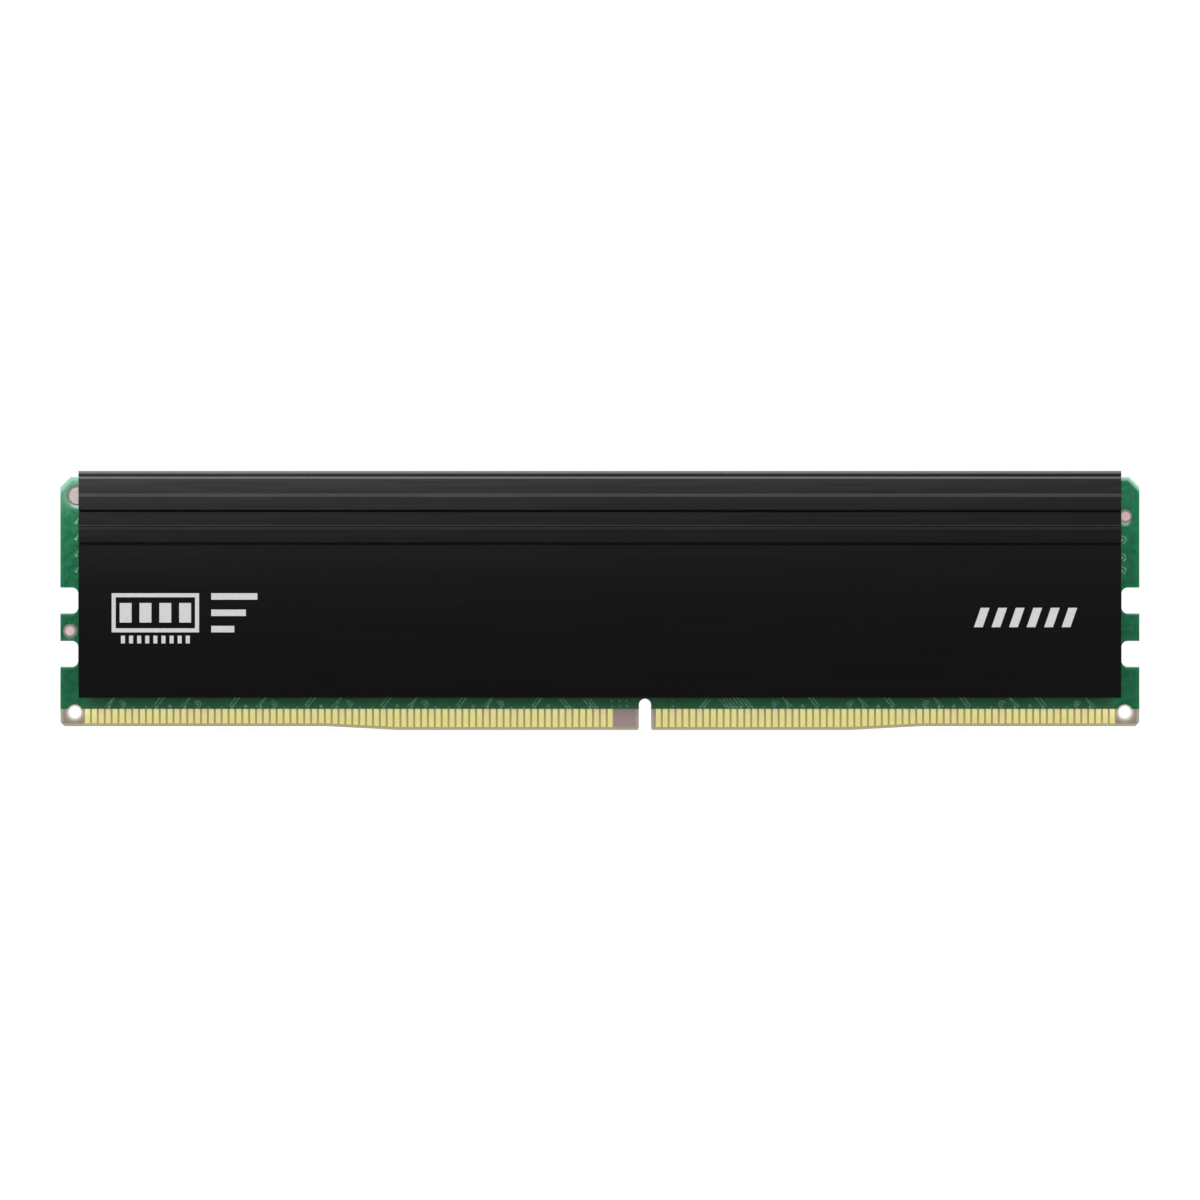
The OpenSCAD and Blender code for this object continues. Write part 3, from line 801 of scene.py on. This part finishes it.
def floor():
    g = new_material(
        "pale_floor", Roughness=0.9, Specular_IOR_Level=0.1,
        Emission_Color=(1, 1, 1, 1), Emission_Strength=FLOOR_GLOW,
    )
    grain = g.noise(g.point(), 0.02, 3)
    g.set(Base_Color=g.mix(grain, (0.8, 0.8, 0.8), (0.84, 0.84, 0.84)))
    mesh = bmesh.new()
    bmesh.ops.create_circle(mesh, cap_ends=True, segments=FLOOR_CORNERS, radius=FLOOR_R)
    data = bpy.data.meshes.new("floor")
    mesh.to_mesh(data)
    mesh.free()
    piece = bpy.data.objects.new("floor", data)
    bpy.context.scene.collection.objects.link(piece)
    data.materials.append(g.owner)
    piece.visible_glossy = False
    piece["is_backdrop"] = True


# ---- World ----

# The world's strength as a light beside and above the module, before and behind it, and as the camera sees it
WORLD_SIDES = 1.0
WORLD_AHEAD = 0.1
WORLD_SEEN = 1.02
# How far a direction points forwards or back, from 0 to 1, where that light starts and ends its fall
WORLD_DIMS = (0.45, 0.85)


def world():
    """White to the camera. As a light it is bright above and beside the module, and dim before and behind."""
    scene = bpy.context.scene
    scene.world = bpy.data.worlds.new("studio")
    g = Graph(scene.world, "Background")
    direction = g.add("ShaderNodeTexCoord", {}, "Generated")
    _, ahead, _ = g.parts(direction)
    light = g.ramp(g.size(ahead), *WORLD_DIMS, WORLD_SIDES, WORLD_AHEAD)
    seen = g.add("ShaderNodeLightPath", {}, "Is Camera Ray")
    hidden = g.minus(1.0, seen)
    strength = g.plus(g.times(light, hidden), g.times(seen, WORLD_SEEN))
    g.set(Color=(1, 1, 1, 1), Strength=strength)
    scene.view_settings.view_transform = "Standard"


# ---- Lamps, in metres. A place is across, out from the board's middle on the lit face's side, and up ----

MIDDLE = (0, 0, 0.016)
# One long softbox above each plate, and a pair of softboxes before each face for all the other pieces
OVERHEAD_PLACE = (0, 0.275, 0.455)
OVERHEAD = {"size": (1.0, 0.26), "radiance": 5.6}
KEY_PLACE = (0.45, 0.45, 0.26)
KEY = {"size": (0.4, 0.4), "radiance": 5.0}
# Spots that are full at a height and fade below it: watts, degrees, that height, and the drop to 1/e of it
PLATE_GRADE_PLACE = (-0.2, 0.24, 0.155)
PLATE_GRADE = {"power": 84, "cone": 56, "full": 0.032, "fade": 0.0052}
MASK_GRADE_PLACE = (0.25, 0.35, 0.22)
MASK_GRADE = {"cone": 56, "full": 0.032, "fade": 0.01}
# The mask has a pair of them: left or right, and watts
MASK_GRADE_PAIR = ((-1, 15), (1, 7))
# A narrow one gives the gloss round the big pad, and is aimed at this height at the board's left end
SHEEN_PLACE = (-0.1, 0.5, 0.12)
SHEEN = {"power": 2.2, "cone": 9, "full": 0.0275, "fade": 0.0006}
SHEEN_AT = 0.030
SPOT_R = 0.0005
SPOT_BLEND = 0.5
# A grade goes on growing above its full height, up to e to this power
GRADE_CAP = 0.5


def aim(thing, place, target):
    thing.location = place
    thing.rotation_euler = (Vector(target) - Vector(place)).to_track_quat("-Z", "Y").to_euler()


def collection_of(name, pieces):
    group = bpy.data.collections.new(name)
    for piece in pieces:
        group.objects.link(piece)
    return group


def add_lamp(light, place, target, lit):
    """Places a light that shines on the pieces in lit and on nothing else."""
    lamp = bpy.data.objects.new(light.name, light)
    bpy.context.scene.collection.objects.link(lamp)
    lamp.visible_camera = False
    aim(lamp, place, target)
    lamp.light_linking.receiver_collection = lit
    return lamp


def softbox(name, lit, place, size, radiance):
    """A rectangular lamp that looks at the middle of the module."""
    light = bpy.data.lights.new(name, "AREA")
    light.shape = "RECTANGLE"
    light.size, light.size_y = size
    light.energy = radiance * math.pi * size[0] * size[1]
    add_lamp(light, place, MIDDLE, lit)


def graded_spot(name, lit, place, target, power, cone, full, fade):
    """A spot whose light on the upright plane through target fades exponentially below the height full."""
    light = bpy.data.lights.new(name, "SPOT")
    light.energy = power
    light.shadow_soft_size = SPOT_R
    light.spot_size = math.radians(cone)
    light.spot_blend = SPOT_BLEND
    lamp = add_lamp(light, place, target, lit)
    _, out, up = lamp.rotation_euler.to_matrix()
    g = Graph(light, "Emission")
    ray = g.add("ShaderNodeTexCoord", {}, "Normal")
    rise = g.math("DIVIDE", g.vector("DOT_PRODUCT", ray, up), g.vector("DOT_PRODUCT", ray, out))
    height = g.plus(g.times(rise, target[1] - place[1]), place[2])
    drop = g.math("DIVIDE", g.minus(height, full), fade)
    g.set(Strength=g.math("POWER", math.e, g.least(drop, GRADE_CAP)))
    return lamp


def face_lamps(face, side, plate, masks, rest):
    """The lamps before one face. side is -1 for the front and 1 for the back."""
    def before(across, out, up):
        return across, side * out, up

    softbox(f"overhead_{face}", plate, before(*OVERHEAD_PLACE), **OVERHEAD)
    across, out, up = KEY_PLACE
    for hand in (-1, 1):
        softbox(f"key_{face}_{hand}", rest, before(hand * across, out, up), **KEY)
    target = before(0, RIB_Y * MM, PLATE_GRADE["full"])
    grade = graded_spot(f"plate_grade_{face}", plate, before(*PLATE_GRADE_PLACE), target, **PLATE_GRADE)
    grade.visible_glossy = False
    across, out, up = MASK_GRADE_PLACE
    target = before(0, MASK_Y * MM, MASK_GRADE["full"])
    for hand, power in MASK_GRADE_PAIR:
        place = before(hand * across, out, up)
        graded_spot(f"mask_grade_{face}_{hand}", masks, place, target, power, **MASK_GRADE)
    corner = before(-HALF_L * MM, MASK_Y * MM, SHEEN_AT)
    sheen = graded_spot(f"sheen_{face}", masks, before(*SHEEN_PLACE), corner, **SHEEN)
    sheen.visible_diffuse = False


def lights():
    """Soft light from all round, and grades that fall off down each face. The plates have their own lamps."""
    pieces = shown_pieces()
    plates = {face: collection_of(f"plate_{face}", [NODES[f"heat_spreader_{face}"]]) for face, _ in FACES}
    masks = collection_of("masks", [p for p in pieces if p.name.startswith(("solder_mask", "signal"))])
    rest = collection_of("all_but_plates", [p for p in pieces if "heat_spreader" not in p.name])
    for face, side in FACES:
        face_lamps(face, side, plates[face], masks, rest)


# ---- Camera, in metres ----

CAMERA_D = 3.5
CAMERA_REACH = 20
SENSOR_W = 36.0
# Width of the view at the module, and the point in its middle: across and up
VIEW_W = 0.14835
VIEW_MIDDLE = (0.000015, 0.01606)


def camera():
    """Straight on to the front, far enough away that the plates and the board keep one scale."""
    data = bpy.data.cameras.new("camera")
    data.sensor_width = SENSOR_W
    data.lens = SENSOR_W * CAMERA_D / VIEW_W
    data.clip_end = CAMERA_REACH
    eye = bpy.data.objects.new("camera", data)
    bpy.context.scene.collection.objects.link(eye)
    x, z = VIEW_MIDDLE
    aim(eye, (x, -CAMERA_D, z), (x, 0, z))
    bpy.context.scene.camera = eye


dress_cad_nodes()
for name, node in NODES.items():
    if name.startswith(("heat_spreader_", "memory_")):
        round_edges(node)
for face, side in FACES:
    board_relief(face, side)
floor()
world()
lights()
camera()
